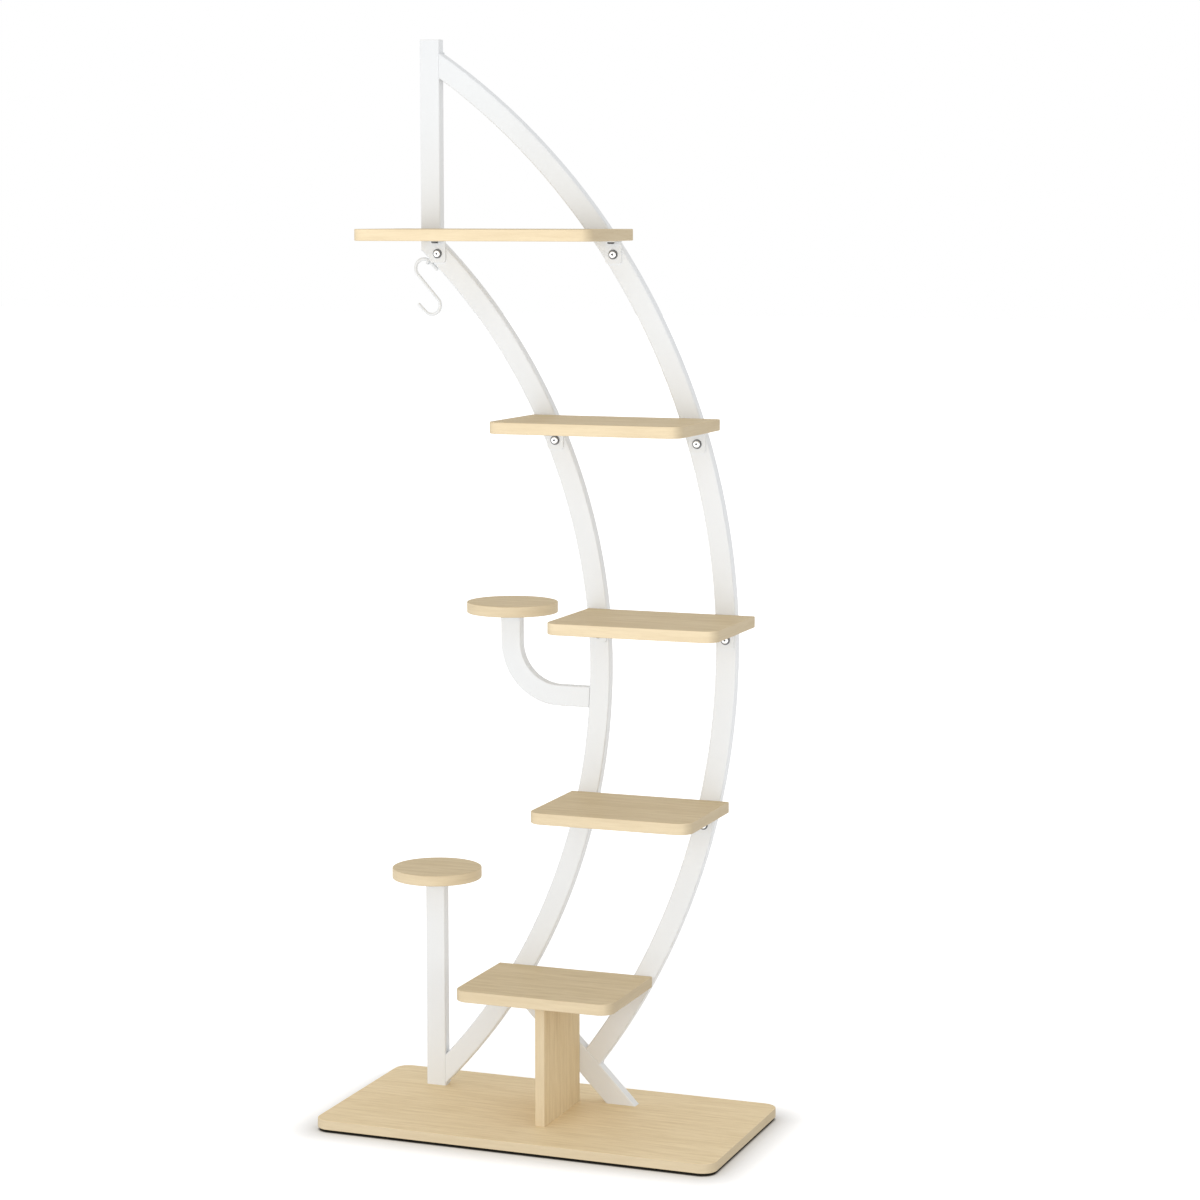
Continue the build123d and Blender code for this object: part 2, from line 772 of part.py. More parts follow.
def make_hook():
    """An S hook whose upper loop hangs on the eye's bar."""
    x, z = eye_centre()
    radius = hook_loop_radius
    shift = hook_loop_shift / 2
    hang = radius - hook_wire / 2 - hook_gap - eye_wire / 2
    upper = (x - shift, z - math.sqrt(hang ** 2 - shift ** 2))
    lower = (upper[0] + hook_loop_shift, upper[1] - hook_loop_drop)
    span = math.hypot(hook_loop_shift, hook_loop_drop)
    slope = math.degrees(math.atan2(-hook_loop_drop, hook_loop_shift))
    leave = slope - math.degrees(math.acos(2 * radius / span))
    flare = hook_flare_angle
    rise = math.radians(flare)
    tip = (hook_flare_length * math.sin(rise), -hook_flare_length * math.cos(rise))

    def on_loop(centre, angle):
        return (centre[0] + radius * math.cos(math.radians(angle)),
                centre[1] + radius * math.sin(math.radians(angle)))

    over = on_loop(upper, flare)
    under = on_loop(lower, flare + 180)
    path = Curve() + [
        Line((over[0] + tip[0], over[1] + tip[1]), over),
        CenterArc(upper, radius, flare, leave + 360 - flare),
        Line(on_loop(upper, leave), on_loop(lower, leave + 180)),
        CenterArc(lower, radius, leave + 180, flare - 180 - leave - 180),
        Line(under, (under[0] - tip[0], under[1] - tip[1])),
    ]
    plane = Plane(origin=(0, frame_y, 0), x_dir=(1, 0, 0), z_dir=(0, -1, 0))
    wire = Wire((plane * path).edges())
    hook = sweep(Plane(origin=wire @ 0, z_dir=wire % 0) * Circle(hook_wire / 2), path=wire)
    ends = hook.faces().filter_by(GeomType.PLANE)
    return fillet(ends.edges(), hook_tip_round)


def all_parts():
    """Every node of the stand, by name."""
    parts = {"base_board": make_base_board()}
    for name, (x, y) in foot_places().items():
        parts[name] = make_foot(x, y)
    parts["main_post"] = make_main_post()
    parts["post_cap"] = make_post_cap()
    parts["inner_arc_upper"] = make_inner_arc_upper()
    parts["inner_arc_lower"] = make_inner_arc_lower()
    parts["inner_arc_joiner"] = make_joiner(inner)
    parts["outer_arc_upper"] = make_outer_arc_upper()
    parts["outer_arc_lower"] = make_outer_arc_lower()
    parts["outer_arc_joiner"] = make_joiner(outer)
    parts["lower_post"] = make_lower_post()
    parts["lower_post_foot_plate"] = make_lower_post_plate()
    parts["brace"] = make_brace()
    parts["brace_foot_plate"] = make_brace_plate()
    parts["tray_arm"] = make_tray_arm()
    for name, shelf in shelves.items():
        parts[f"shelf_{name}"] = make_shelf(shelf)
        for side in sides:
            parts[f"bracket_{name}_{side}"] = make_bracket(shelf, side)
    parts["shelf_bottom"] = make_bottom_shelf()
    parts["support_panel"] = make_support_panel()
    parts["tray_upper"] = make_tray(upper_tray_x, upper_tray_height)
    parts["tray_lower"] = make_tray(post_x, lower_tray_height)
    parts["tray_plate_upper"] = make_tray_plate(upper_tray_x, upper_plate_underside())
    parts["tray_plate_lower"] = make_tray_plate(post_x, lower_plate_underside())
    parts["hook_eye"] = make_hook_eye()
    parts["s_hook"] = make_hook()
    groups = {
        "frame_bolts": frame_bolts(),
        "bolt_washers": bolt_washers(),
        "tube_nuts": tube_nuts(),
        "shelf_bolts": shelf_bolts(),
        "shelf_inserts": shelf_inserts(),
        "joiner_screws": joiner_screws(),
        "tray_screws": tray_screws(),
        "base_screws": base_screws(),
        "panel_screws": panel_screws(),
        "panel_dowels": dowel_solids(),
        "rear_screws": rear_screws(),
    }
    for name, solids in groups.items():
        parts[name] = Compound(children=solids)
    return parts


os.makedirs("parts", exist_ok=True)
for node, part in all_parts().items():
    export_step(part, f"parts/{node}.step")
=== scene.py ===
import json
import math

import bmesh
import bpy
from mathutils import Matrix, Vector
from mathutils.bvhtree import BVHTree


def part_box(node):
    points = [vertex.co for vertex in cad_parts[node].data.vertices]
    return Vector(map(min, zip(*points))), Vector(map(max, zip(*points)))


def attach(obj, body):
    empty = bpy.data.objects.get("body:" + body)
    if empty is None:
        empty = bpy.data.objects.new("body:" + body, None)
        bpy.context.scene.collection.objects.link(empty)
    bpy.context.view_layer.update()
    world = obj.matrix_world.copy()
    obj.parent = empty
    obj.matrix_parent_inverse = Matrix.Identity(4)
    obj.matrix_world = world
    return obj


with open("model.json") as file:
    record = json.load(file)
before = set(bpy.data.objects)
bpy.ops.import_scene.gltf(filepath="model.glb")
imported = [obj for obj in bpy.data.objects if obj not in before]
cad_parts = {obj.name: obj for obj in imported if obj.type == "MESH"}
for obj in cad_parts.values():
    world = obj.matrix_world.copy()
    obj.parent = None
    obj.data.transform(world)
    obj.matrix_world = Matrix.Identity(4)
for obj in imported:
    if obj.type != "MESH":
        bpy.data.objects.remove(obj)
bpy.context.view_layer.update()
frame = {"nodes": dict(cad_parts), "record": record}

# Tiered plant stand. Metres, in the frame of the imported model: X to the right, Y to the back, Z up,
# with the floor at 0.

scene = bpy.context.scene
nodes = frame["nodes"]

# Camera: a pin-hole camera, level in roll, solved from the photograph
camera_place = (1.9378, -4.8506, 1.6049)
camera_tilt_down = 7.285
camera_turn = 20.763
camera_lens = 91.0
camera_sensor = 36.0
camera_reach = 200.0

# Light: big soft lamps, each with its place and power, and the room's own light
lamps = {
    "key": ((-2.4, -5.4, 1.4), 27.0),
    "front": ((0.6, -5.7, 1.1), 50.0),
    "left": ((-3.9, -4.2, 1.3), 20.0),
    "right": ((4.0, -3.2, 1.4), 19.0),
}
lamp_target = (0.0, 0.0, 0.7)
lamp_size = 2.4
room_light = 0.80

# Floor: its own colour, and how bright it is seen in the gap under the base (a painted shadow), at the base's
# edge (painted shade), near the stand and far away
floor_reach = 40.0
floor_colour = 0.92
painted_gap_shadow = 0.05
painted_base_edge_shade = 0.63
floor_seen_near = 1.40
floor_seen_far = 1.7
painted_floor_shade_reach = 0.07
floor_near = 0.7
floor_far = 3.0
gap_depth = 0.004
gap_blur = 0.001

# How near to a board's end a point counts as on it
flush = 0.0001

# Wood: its pattern along and across the grain in cycles per metre, how it wanders, and how far apart in it
# two boards are cut
grain_along = 5.0
grain_across = 260.0
grain_wander = (1.0, 0.035, 1.0)
grain_wander_reach = 1.6
board_shift = (3.7, 11.3)
wood_gloss = (0.44, 0.54)
wood_specular = 0.05
wood_pore_depth = 0.00008
wood_relief = 0.45
wood_line_share = 0.5
wood_pore_share = 0.5
wood_pore_span = (0.62, 0.80)

# How squarely a face looks up to count as level, and along X to count as an end
level_facing = 0.7
end_facing = (0.5, 1.0)

# Other surfaces: patterns in cycles per metre, roughness from smooth to rough, and the depth and strength of
# the relief
peel_cycles = 900.0
peel_gloss = (0.34, 0.44)
peel_depth = 0.00004
peel_relief = 0.16
swell_cycles = 220.0
swell_share = 1.5
paint_cloud_cycles = 9.0
stipple_cycles = 2600.0
stipple_gloss = (0.40, 0.52)
stipple_depth = 0.00003
stipple_relief = 0.5
plastic_cloud_cycles = 30.0
plating_cloud_cycles = 260.0
plating_tooth_cycles = 3200.0
plating_gloss = (0.30, 0.42)
plating_depth = 0.00002
plating_relief = 0.5
rubber_cycles = 1500.0
rubber_span = (0.35, 0.65)
rubber_gloss = (0.75, 0.95)
rubber_depth = 0.0002
rubber_relief = 0.7
dowel_cycles = (700.0, 700.0, 30.0)
dowel_gloss = (0.50, 0.65)
dowel_depth = 0.0001
dowel_relief = 0.4

# The parts of a noise's range over which a colour and a gloss change
colour_span = (0.35, 0.70)
gloss_span = (0.30, 0.70)

# Painted shade in the recesses of metal: how far off a wall still closes a place in, and the openness over
# which the painted shade fades
recess_shade_reach = 0.005
recess_shade_span = (0.40, 0.85)
recess_shade_samples = 8

# Weld beads at the joints of the tubes. Past weld_turn along Y, a bead stands out from the tube's side.
weld_width = 0.0042
weld_height = 0.0011
weld_ripple = 0.0022
weld_ripple_share = 0.16
weld_sides = 10
weld_inset = 0.002
weld_steps = 4
weld_taper_steps = 12
weld_end_size = 0.35
weld_wobble = 0.7
weld_wobble_rate = 0.9
weld_turn = 0.7
joint_gap = 0.0006

# Colours, linear. A board's painted light tones are how bright its top, its front and back, and its ends are
# painted, brighter or darker by how the light falls on them: painted light and shade.
wood_pale = (0.851, 0.705, 0.464)
wood_mid = (0.783, 0.636, 0.401)
wood_dark = (0.587, 0.440, 0.241)
# The edges' tint: partly the paler edge band, partly painted light, since the fronts take more light than the
# tops
edge_band_and_light = (0.912, 0.775, 0.566)
edge_band_and_light_share = 0.42
# Painted light and shade for each board: its top, its front and back, and its ends
painted_light_tones = {
    "base_board": (1.08, 0.83, 0.76),
    "support_panel": (0.96, 0.88, 0.96),
    "shelf_bottom": (0.86, 0.89, 0.70),
    "shelf_lower": (0.86, 0.92, 0.72),
    "shelf_middle": (0.86, 0.98, 0.74),
    "shelf_upper": (0.86, 1.00, 0.76),
    "shelf_top": (0.86, 1.02, 0.78),
    "tray_lower": (0.86, 0.91, 0.86),
    "tray_upper": (0.86, 0.90, 0.86),
}
dowel_pale = (0.70, 0.52, 0.30)
dowel_dark = (0.55, 0.38, 0.20)
frame_white = (0.806, 0.822, 0.834)
frame_shade = (0.786, 0.802, 0.814)
plastic_white = (0.84, 0.84, 0.83)
zinc_light = (0.92, 0.92, 0.92)
zinc_dark = (0.74, 0.74, 0.75)
# Near-black steel: painted shade round the bolt heads and under the shelves
painted_shade_steel_light = (0.14, 0.14, 0.14)
painted_shade_steel_dark = (0.07, 0.07, 0.07)
# Painted shade in the recesses of metal
painted_recess_shade = (0.03, 0.03, 0.03)
brass_light = (0.80, 0.60, 0.27)
brass_dark = (0.58, 0.40, 0.15)
rubber_light = (0.030, 0.030, 0.031)
rubber_dark = (0.012, 0.012, 0.013)

# Wood figure, laid on in this order: stretch along and across the grain, detail, roughness, the part of the
# noise's range used, how much of the colour shows at most, and the colour
wood_layers = {
    "bands": ((0.6, 0.075), 3.0, 0.55, (0.35, 0.66), 0.75, wood_mid),
    "lines": ((1.5, 0.40), 5.0, 0.68, (0.42, 0.66), 0.42, wood_dark),
    "fibres": ((4.0, 1.5), 3.0, 0.65, (0.44, 0.68), 0.30, wood_dark),
    "pores": ((12.0, 2.2), 1.0, 0.5, (0.60, 0.76), 0.26, wood_dark),
    "mottle": ((9.0, 0.12), 2.0, 0.5, (0.38, 0.66), 0.16, wood_mid),
}


class Graph:
    """A material's node tree."""

    def __init__(self, name):
        self.material = bpy.data.materials.new(name)
        self.material.use_nodes = True
        self.tree = self.material.node_tree
        self.tree.nodes.clear()
        self.coordinates = self.node("ShaderNodeTexCoord")

    def node(self, kind, **settings):
        made = self.tree.nodes.new(kind)
        for key, value in settings.items():
            setattr(made, key, value)
        return made

    def join(self, source, target):
        self.tree.links.new(source, target)

    def put(self, socket, value):
        """Link a socket to another, or give it a plain value."""
        if isinstance(value, bpy.types.NodeSocket):
            self.join(value, socket)
        else:
            socket.default_value = value

    def stretch(self, vector, scale, location=(0.0, 0.0, 0.0)):
        mapping = self.node("ShaderNodeMapping")
        self.put(mapping.inputs["Vector"], vector)
        mapping.inputs["Scale"].default_value = scale
        mapping.inputs["Location"].default_value = location
        return mapping.outputs["Vector"]

    def noise(self, vector, scale, detail=3.0, roughness=0.5):
        texture = self.node("ShaderNodeTexNoise")
        self.put(texture.inputs["Vector"], vector)
        texture.inputs["Scale"].default_value = scale
        texture.inputs["Detail"].default_value = detail
        texture.inputs["Roughness"].default_value = roughness
        return texture.outputs["Fac"]

    def math(self, operation, first, second=0.0):
        step = self.node("ShaderNodeMath", operation=operation)
        self.put(step.inputs[0], first)
        self.put(step.inputs[1], second)
        return step.outputs["Value"]

    def band(self, value, low, high, to_low=0.0, to_high=1.0):
        """Spread the values between low and high over another range."""
        ramp = self.node("ShaderNodeMapRange")
        self.put(ramp.inputs["Value"], value)
        ramp.inputs["From Min"].default_value = low
        ramp.inputs["From Max"].default_value = high
        ramp.inputs["To Min"].default_value = to_low
        ramp.inputs["To Max"].default_value = to_high
        return ramp.outputs["Result"]

    def gloss(self, noise, smooth, rough):
        """A roughness that follows a noise."""
        return self.band(noise, *gloss_span, smooth, rough)

    def clouded(self, noise, first, second):
        """A colour that drifts to another with a noise."""
        return self.blend(self.band(noise, *colour_span), first, second)

    def blend(self, factor, first, second):
        """Mix two colours."""
        mix = self.node("ShaderNodeMix", data_type="RGBA")
        self.put(mix.inputs["Factor"], factor)
        colours = [socket for socket in mix.inputs if socket.type == "RGBA"]
        self.put(colours[0], first if isinstance(first, bpy.types.NodeSocket) else (*first, 1.0))
        self.put(colours[1], second if isinstance(second, bpy.types.NodeSocket) else (*second, 1.0))
        return [socket for socket in mix.outputs if socket.type == "RGBA"][0]

    def tint(self, colour, tone):
        """Multiply a colour by a number."""
        mix = self.node("ShaderNodeMix", data_type="RGBA", blend_type="MULTIPLY")
        mix.inputs["Factor"].default_value = 1.0
        colours = [socket for socket in mix.inputs if socket.type == "RGBA"]
        self.join(colour, colours[0])
        self.join(tone, colours[1])
        return [socket for socket in mix.outputs if socket.type == "RGBA"][0]

    def length(self, first, second):
        """The length of a flat vector."""
        squares = [self.math("MULTIPLY", side, side) for side in (first, second)]
        return self.math("SQRT", self.math("ADD", *squares))

    def blend_vectors(self, factor, first, second):
        mix = self.node("ShaderNodeMix", data_type="VECTOR")
        self.put(mix.inputs["Factor"], factor)
        vectors = [socket for socket in mix.inputs if socket.type == "VECTOR" and socket.name in ("A", "B")]
        self.put(vectors[0], first)
        self.put(vectors[1], second)
        return [socket for socket in mix.outputs if socket.type == "VECTOR"][0]

    def bump(self, height, distance, strength=1.0):
        bump = self.node("ShaderNodeBump")
        self.put(bump.inputs["Height"], height)
        bump.inputs["Distance"].default_value = distance
        bump.inputs["Strength"].default_value = strength
        return bump.outputs["Normal"]

    def openness(self, reach):
        """How open a place is to its surroundings: low in recesses and corners."""
        occlusion = self.node("ShaderNodeAmbientOcclusion", samples=recess_shade_samples)
        occlusion.inputs["Distance"].default_value = reach
        return occlusion.outputs["AO"]

    def finish(self, colour, roughness, normal, **sockets):
        """Add the shader. Keyword names are its sockets, with underscores for spaces."""
        shader = self.node("ShaderNodeBsdfPrincipled")
        self.put(shader.inputs["Base Color"], colour)
        self.put(shader.inputs["Roughness"], roughness)
        self.put(shader.inputs["Normal"], normal)
        for key, value in sockets.items():
            shader.inputs[key.replace("_", " ")].default_value = value
        output = self.node("ShaderNodeOutputMaterial")
        self.join(shader.outputs["BSDF"], output.inputs["Surface"])
        return self.material


def facing(graph, axis):
    """How squarely a face looks up or down an axis, from 0 to 1."""
    split = graph.node("ShaderNodeSeparateXYZ")
    graph.join(graph.coordinates.outputs["Normal"], split.inputs["Vector"])
    return graph.math("ABSOLUTE", split.outputs[axis])


def grain_finish(graph, vector, edge, tone):
    """Light wood: soft bands, lines, fibres and short pores. The vector's X runs along the grain."""
    wander = graph.noise(graph.stretch(vector, grain_wander), 1.0, detail=2.0)
    split = graph.node("ShaderNodeSeparateXYZ")
    graph.join(vector, split.inputs["Vector"])
    across = graph.math("ADD", split.outputs["Y"], graph.math("MULTIPLY", wander, grain_wander_reach))
    drawn = graph.node("ShaderNodeCombineXYZ")
    graph.join(split.outputs["X"], drawn.inputs["X"])
    graph.join(across, drawn.inputs["Y"])
    graph.join(split.outputs["Z"], drawn.inputs["Z"])
    drawn = drawn.outputs["Vector"]
    noises = {}
    colour = wood_pale
    for name, (stretch, detail, roughness, span, share, over) in wood_layers.items():
        noises[name] = graph.noise(graph.stretch(drawn, (*stretch, 1.0)), 1.0, detail, roughness)
        colour = graph.blend(graph.band(noises[name], *span, 0.0, share), colour, over)
    # The edges' tint, partly a paler edge band and partly painted light, then painted light and shade by face
    colour = graph.blend(graph.band(edge, 0.0, 1.0, 0.0, edge_band_and_light_share), colour, edge_band_and_light)
    colour = graph.tint(colour, tone)
    lines = graph.math("MULTIPLY", noises["lines"], wood_line_share)
    pores = graph.band(noises["pores"], *wood_pore_span, 0.0, wood_pore_share)
    relief = graph.math("SUBTRACT", lines, pores)
    normal = graph.bump(relief, wood_pore_depth, wood_relief)
    roughness = graph.gloss(noises["lines"], *wood_gloss)
    return graph.finish(colour, roughness, normal, Specular_IOR_Level=wood_specular)


def board_wood(name, offset, painted_tones):
    """A level board: grain along X on top and below, and level lines all round it with the edges' tint,
    partly a paler edge band and partly painted light, and painted light and shade by face.
    """
    graph = Graph(name)
    place = graph.coordinates.outputs["Object"]
    flat = graph.stretch(place, (grain_along, grain_across, 0.0), offset)
    turned = graph.node("ShaderNodeSeparateXYZ")
    graph.join(place, turned.inputs["Vector"])
    round_edge = graph.node("ShaderNodeCombineXYZ")
    graph.join(graph.math("ADD", turned.outputs["X"], turned.outputs["Y"]), round_edge.inputs["X"])
    graph.join(turned.outputs["Z"], round_edge.inputs["Y"])
    edge = graph.stretch(round_edge.outputs["Vector"], (grain_along, grain_across, 0.0), offset[::-1])
    level = graph.math("GREATER_THAN", facing(graph, "Z"), level_facing)
    vector = graph.blend_vectors(level, edge, flat)
    # Painted light and shade: the top, the fronts and the ends are each painted brighter or darker by how
    # light falls on them
    top, front, end = painted_tones
    upright = graph.math("SUBTRACT", 1.0, level)
    painted_side_tone = graph.band(facing(graph, "X"), *end_facing, front, end)
    tone = graph.math("ADD", graph.math("MULTIPLY", level, top), graph.math("MULTIPLY", upright, painted_side_tone))
    return grain_finish(graph, vector, upright, tone)


def panel_wood(name, offset, painted_tones):
    """An upright panel: grain along Z on every side, with the edges' tint, partly a paler edge band and
    partly painted light, on its front and back, and painted light and shade by face.
    """
    graph = Graph(name)
    place = graph.node("ShaderNodeSeparateXYZ")
    graph.join(graph.coordinates.outputs["Object"], place.inputs["Vector"])
    upright = graph.node("ShaderNodeCombineXYZ")
    graph.join(place.outputs["Z"], upright.inputs["X"])
    graph.join(graph.math("ADD", place.outputs["X"], place.outputs["Y"]), upright.inputs["Y"])
    vector = graph.stretch(upright.outputs["Vector"], (grain_along, grain_across, 0.0), offset)
    # Painted light and shade: the front and back and the ends are painted to their own brightness
    front, end = painted_tones[1:]
    front_facing = facing(graph, "Y")
    return grain_finish(graph, vector, front_facing, graph.band(front_facing, 0.0, 1.0, end, front))


def dowel_wood():
    graph = Graph("dowel_wood")
    vector = graph.stretch(graph.coordinates.outputs["Object"], dowel_cycles)
    lines = graph.noise(vector, 1.0)
    colour = graph.clouded(lines, dowel_pale, dowel_dark)
    normal = graph.bump(lines, dowel_depth, dowel_relief)
    return graph.finish(colour, graph.gloss(lines, *dowel_gloss), normal)


def powder_coat():
    """Satin white powder coat: a fine orange peel, and a faint unevenness of tone."""
    graph = Graph("white_powder_coat")
    place = graph.coordinates.outputs["Object"]
    peel = graph.noise(place, peel_cycles, detail=2.0, roughness=0.45)
    swell = graph.noise(place, swell_cycles, detail=1.0)
    cloud = graph.noise(place, paint_cloud_cycles)
    relief = graph.math("ADD", peel, graph.math("MULTIPLY", swell, swell_share))
    colour = graph.clouded(cloud, frame_white, frame_shade)
    normal = graph.bump(relief, peel_depth, peel_relief)
    return graph.finish(colour, graph.gloss(peel, *peel_gloss), normal, Specular_IOR_Level=0.5)


def moulded_plastic():
    graph = Graph("white_plastic")
    place = graph.coordinates.outputs["Object"]
    stipple = graph.noise(place, stipple_cycles, detail=1.0)
    cloud = graph.noise(place, plastic_cloud_cycles, detail=2.0)
    colour = graph.clouded(cloud, plastic_white, frame_shade)
    normal = graph.bump(stipple, stipple_depth, stipple_relief)
    return graph.finish(colour, graph.gloss(stipple, *stipple_gloss), normal)


def plated_metal(name, light, dark):
    """Plating with small clouds and a fine tooth, with painted shade in its recesses."""
    graph = Graph(name)
    place = graph.coordinates.outputs["Object"]
    cloud = graph.noise(place, plating_cloud_cycles)
    tooth = graph.noise(place, plating_tooth_cycles, detail=2.0)
    colour = graph.clouded(cloud, light, dark)
    # Painted shade: darker where walls close the place in
    colour = graph.blend(graph.band(graph.openness(recess_shade_reach), *recess_shade_span), painted_recess_shade, colour)
    normal = graph.bump(tooth, plating_depth, plating_relief)
    return graph.finish(colour, graph.gloss(tooth, *plating_gloss), normal, Metallic=1.0)


def foam_rubber():
    graph = Graph("black_rubber")
    place = graph.coordinates.outputs["Object"]
    cells = graph.noise(place, rubber_cycles, roughness=0.7)
    colour = graph.blend(graph.band(cells, *rubber_span), rubber_light, rubber_dark)
    normal = graph.bump(cells, rubber_depth, rubber_relief)
    return graph.finish(colour, graph.gloss(cells, *rubber_gloss), normal)


def dress(node, material):
    """Give every material slot of a CAD node one material."""
    slots = nodes[node].data.materials
    if not slots:
        slots.append(material)
    for index in range(len(slots)):
        slots[index] = material


def dress_all():
    """Dress every CAD node by its slot in the record, apart from washers and shelf bolts, which get
    near-black steel as painted shade round the bolt heads and under the shelves.
    """
    plain = {
        "white_powder_coat": powder_coat(),
        "zinc_steel": plated_metal("zinc_steel", zinc_light, zinc_dark),
        "painted_shade_steel": plated_metal("painted_shade_steel", painted_shade_steel_light, painted_shade_steel_dark),
        "brass": plated_metal("brass", brass_light, brass_dark),
        "black_rubber": foam_rubber(),
        "white_plastic": moulded_plastic(),
        "dowel_wood": dowel_wood(),
    }
    boards = 0
    for part in frame["record"]["subparts"]:
        node = part["node"]
        finish = part["material_slot"]
        # Painted shade: washers and shelf bolts get near-black steel
        if node in ("bolt_washers", "shelf_bolts"):
            finish = "painted_shade_steel"
        if finish != "light_wood":
            dress(node, plain[finish])
            continue
        boards += 1
        offset = (board_shift[0] * boards, board_shift[1] * boards, 0.0)
        make = panel_wood if node == "support_panel" else board_wood
        dress(node, make("wood_" + node, offset, painted_light_tones[node]))
    return plain


def on_surface(node, reach):
    """A test of whether a point lies on a CAD node's surface."""
    mesh = nodes[node].data
    tree = BVHTree.FromPolygons([v.co for v in mesh.vertices], [f.vertices for f in mesh.polygons])
    return lambda point: tree.find_nearest(point, reach)[0] is not None


def joint_ends(node, other):
    """The two ends, (x, z), of the line on which one tube's end meets another tube."""
    touches = on_surface(other, joint_gap)
    met = [(v.co.x, v.co.z) for v in nodes[node].data.vertices if touches(v.co)]
    pairs = ((math.dist(a, b), a, b) for a in met for b in met)
    return max(pairs)[1:]


def weld_path(node, other):
    """From the front along one side of a joint, across the back and forward along the other side."""
    low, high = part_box(node)
    front, back = low[1], high[1]
    first, second = joint_ends(node, other)
    return [
        Vector((first[0], front + weld_inset, first[1])),
        Vector((first[0], back, first[1])),
        Vector((second[0], back, second[1])),
        Vector((second[0], front + weld_inset, second[1])),
    ]


def even_steps(path, step):
    """Points at an even spacing along a path of straight runs."""
    points = []
    for start, end in zip(path, path[1:]):
        count = max(2, round((end - start).length / step))
        points += [start.lerp(end, index / count) for index in range(count)]
    return points + [path[-1]]


def weld_bead(name, path):
    """A rippled bead laid along a joint."""
    points = even_steps(path, weld_ripple / weld_steps)
    shape = bmesh.new()
    rings = []
    for index, point in enumerate(points):
        before = points[max(index - 1, 0)]
        after = points[min(index + 1, len(points) - 1)]
        along = (after - before).normalized()
        up = Vector((0.0, 1.0, 0.0)) if abs(along.y) < weld_turn else (path[2] - path[1]).normalized()
        across = along.cross(up).normalized()
        from_end = min(index, len(points) - 1 - index, weld_taper_steps)
        taper = math.sin(math.pi * from_end / (2 * weld_taper_steps))
        wobble = weld_wobble * math.sin(index * weld_wobble_rate)
        ripple = 1.0 + weld_ripple_share * math.sin(math.tau * index / weld_steps + wobble)
        size = (weld_end_size + (1.0 - weld_end_size) * taper) * ripple
        ring = []
        for side in range(weld_sides):
            angle = math.tau * side / weld_sides
            offset = across * math.cos(angle) * weld_width / 2 + up * math.sin(angle) * weld_height
            ring.append(shape.verts.new(point + offset * size))
        rings.append(ring)
    for first, second in zip(rings, rings[1:]):
        for side in range(weld_sides):
            after = (side + 1) % weld_sides
            shape.faces.new((first[side], first[after], second[after], second[side]))
    shape.faces.new(rings[0][::-1])
    shape.faces.new(rings[-1])
    bmesh.ops.recalc_face_normals(shape, faces=shape.faces)
    for face in shape.faces:
        face.smooth = True
    mesh = bpy.data.meshes.new(name)
    shape.to_mesh(mesh)
    shape.free()
    bead = bpy.data.objects.new(name, mesh)
    scene.collection.objects.link(bead)
    return bead


def weld_joints(coat):
    """Lay a bead where each tube's end meets another tube."""
    joints = {
        "weld_post_outer_arc": ("outer_arc_upper", "main_post"),
        "weld_post_inner_arc": ("inner_arc_upper", "main_post"),
        "weld_tray_arm": ("tray_arm", "inner_arc_lower"),
        "weld_lower_post": ("inner_arc_lower", "lower_post"),
        "weld_brace_inner_arc": ("brace", "inner_arc_lower"),
        "weld_brace_outer_arc": ("outer_arc_lower", "brace"),
    }
    for name, (node, other) in joints.items():
        bead = weld_bead(name, weld_path(node, other))
        bead.data.materials.append(coat)
        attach(bead, "stand")


def look_at(place, target):
    return (Vector(target) - Vector(place)).to_track_quat("-Z", "Y").to_euler()


def light_lamps():
    for name, (place, power) in lamps.items():
        lamp = bpy.data.lights.new(name, "AREA")
        lamp.shape = "DISK"
        lamp.size = lamp_size
        lamp.energy = power
        holder = bpy.data.objects.new(name, lamp)
        holder.location = place
        holder.rotation_euler = look_at(place, lamp_target)
        scene.collection.objects.link(holder)


def seen_directly(tree):
    """One for camera, glossy and transmission rays, otherwise nought."""
    path = tree.nodes.new("ShaderNodeLightPath")
    seen = path.outputs["Is Camera Ray"]
    for ray in ("Is Glossy Ray", "Is Transmission Ray"):
        either = tree.nodes.new("ShaderNodeMath")
        either.operation = "MAXIMUM"
        tree.links.new(seen, either.inputs[0])
        tree.links.new(path.outputs[ray], either.inputs[1])
        seen = either.outputs["Value"]
    return seen


def room():
    """A white room to look at and to mirror, and a softer one for the light it gives."""
    world = bpy.data.worlds.new("room")
    world.use_nodes = True
    scene.world = world
    tree = world.node_tree
    tree.nodes.clear()
    mix = tree.nodes.new("ShaderNodeMixShader")
    for index, strength in ((1, room_light), (2, 1.0)):
        white = tree.nodes.new("ShaderNodeBackground")
        white.inputs["Color"].default_value = (1.0, 1.0, 1.0, 1.0)
        white.inputs["Strength"].default_value = strength
        tree.links.new(white.outputs["Background"], mix.inputs[index])
    output = tree.nodes.new("ShaderNodeOutputWorld")
    tree.links.new(seen_directly(tree), mix.inputs["Fac"])
    tree.links.new(mix.outputs["Shader"], output.inputs["Surface"])


def corner_radius(node):
    """The radius of a board's upright corners."""
    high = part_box(node)[1]
    end = [abs(v.co.y) for v in nodes[node].data.vertices if v.co.x > high[0] - flush]
    return high[1] - max(end)


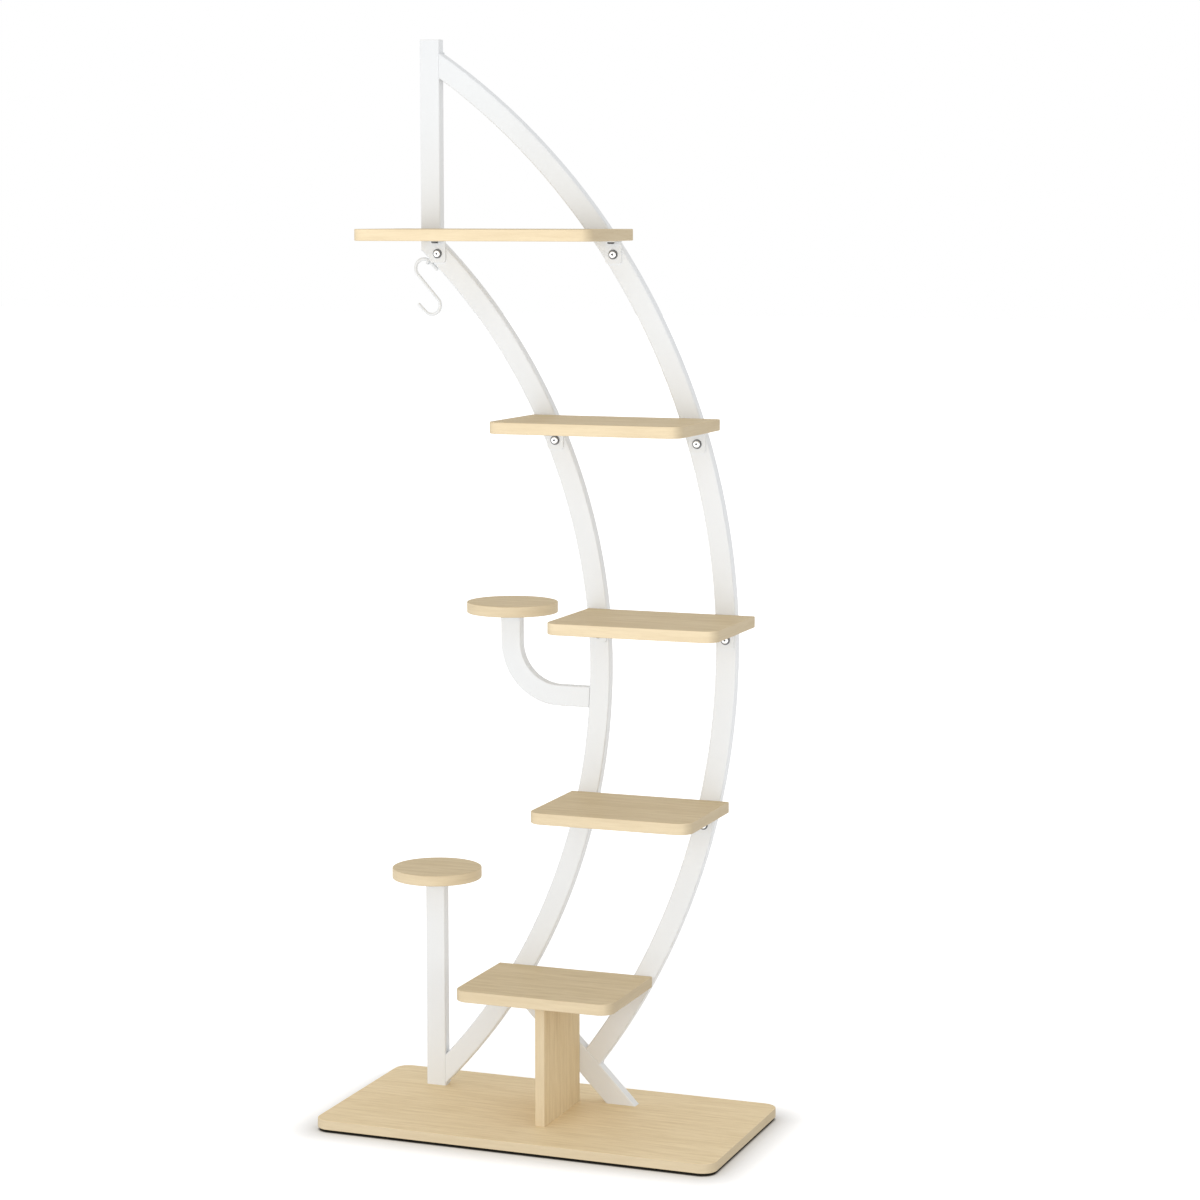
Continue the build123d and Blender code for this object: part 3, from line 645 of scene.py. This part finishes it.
def floor_seen(graph):
    """How bright the floor is seen: a painted shadow in the gap under the base, painted shade at its edge,
    white further out.
    """
    place = graph.node("ShaderNodeSeparateXYZ")
    graph.join(graph.coordinates.outputs["Object"], place.inputs["Vector"])
    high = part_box("base_board")[1]
    corner = corner_radius("base_board")
    sides = [graph.math("ABSOLUTE", place.outputs[axis]) for axis in ("X", "Y")]
    past = [graph.math("SUBTRACT", side, high[axis] - corner) for axis, side in enumerate(sides)]
    outside = graph.length(*[graph.math("MAXIMUM", distance, 0.0) for distance in past])
    inside = graph.math("MINIMUM", graph.math("MAXIMUM", *past), 0.0)
    beside = graph.math("SUBTRACT", graph.math("ADD", outside, inside), corner)
    around = graph.band(graph.length(*sides), floor_near, floor_far, floor_seen_near, floor_seen_far)
    # Painted shade along the base's edge, and a painted shadow in the gap under the base
    shade = graph.band(beside, 0.0, painted_floor_shade_reach, painted_base_edge_shade, 1.0)
    gap = graph.band(beside, -gap_depth, gap_blur, painted_gap_shadow, 1.0)
    return graph.math("MULTIPLY", around, graph.math("MULTIPLY", shade, gap))


def floor():
    """A pale floor. Where it is seen directly it is brightened to white, with painted shade beside the base.
    """
    mesh = bpy.data.meshes.new("floor")
    shape = bmesh.new()
    bmesh.ops.create_grid(shape, x_segments=1, y_segments=1, size=floor_reach)
    shape.to_mesh(mesh)
    shape.free()
    ground = bpy.data.objects.new("floor", mesh)
    scene.collection.objects.link(ground)
    graph = Graph("floor")
    pale = graph.node("ShaderNodeBsdfDiffuse")
    pale.inputs["Color"].default_value = (floor_colour, floor_colour, floor_colour, 1.0)
    seen = graph.node("ShaderNodeBsdfDiffuse")
    graph.join(floor_seen(graph), seen.inputs["Color"])
    mix = graph.node("ShaderNodeMixShader")
    output = graph.node("ShaderNodeOutputMaterial")
    graph.join(seen_directly(graph.tree), mix.inputs["Fac"])
    graph.join(pale.outputs["BSDF"], mix.inputs[1])
    graph.join(seen.outputs["BSDF"], mix.inputs[2])
    graph.join(mix.outputs["Shader"], output.inputs["Surface"])
    mesh.materials.append(graph.material)


def camera():
    lens = bpy.data.cameras.new("camera")
    lens.lens = camera_lens
    lens.sensor_width = camera_sensor
    lens.clip_end = camera_reach
    holder = bpy.data.objects.new("camera", lens)
    holder.location = camera_place
    holder.rotation_euler = (math.radians(90.0 - camera_tilt_down), 0.0, math.radians(camera_turn))
    scene.collection.objects.link(holder)
    scene.camera = holder


scene.view_settings.view_transform = "Standard"
finishes = dress_all()
weld_joints(finishes["white_powder_coat"])
camera()
room()
light_lamps()
floor()
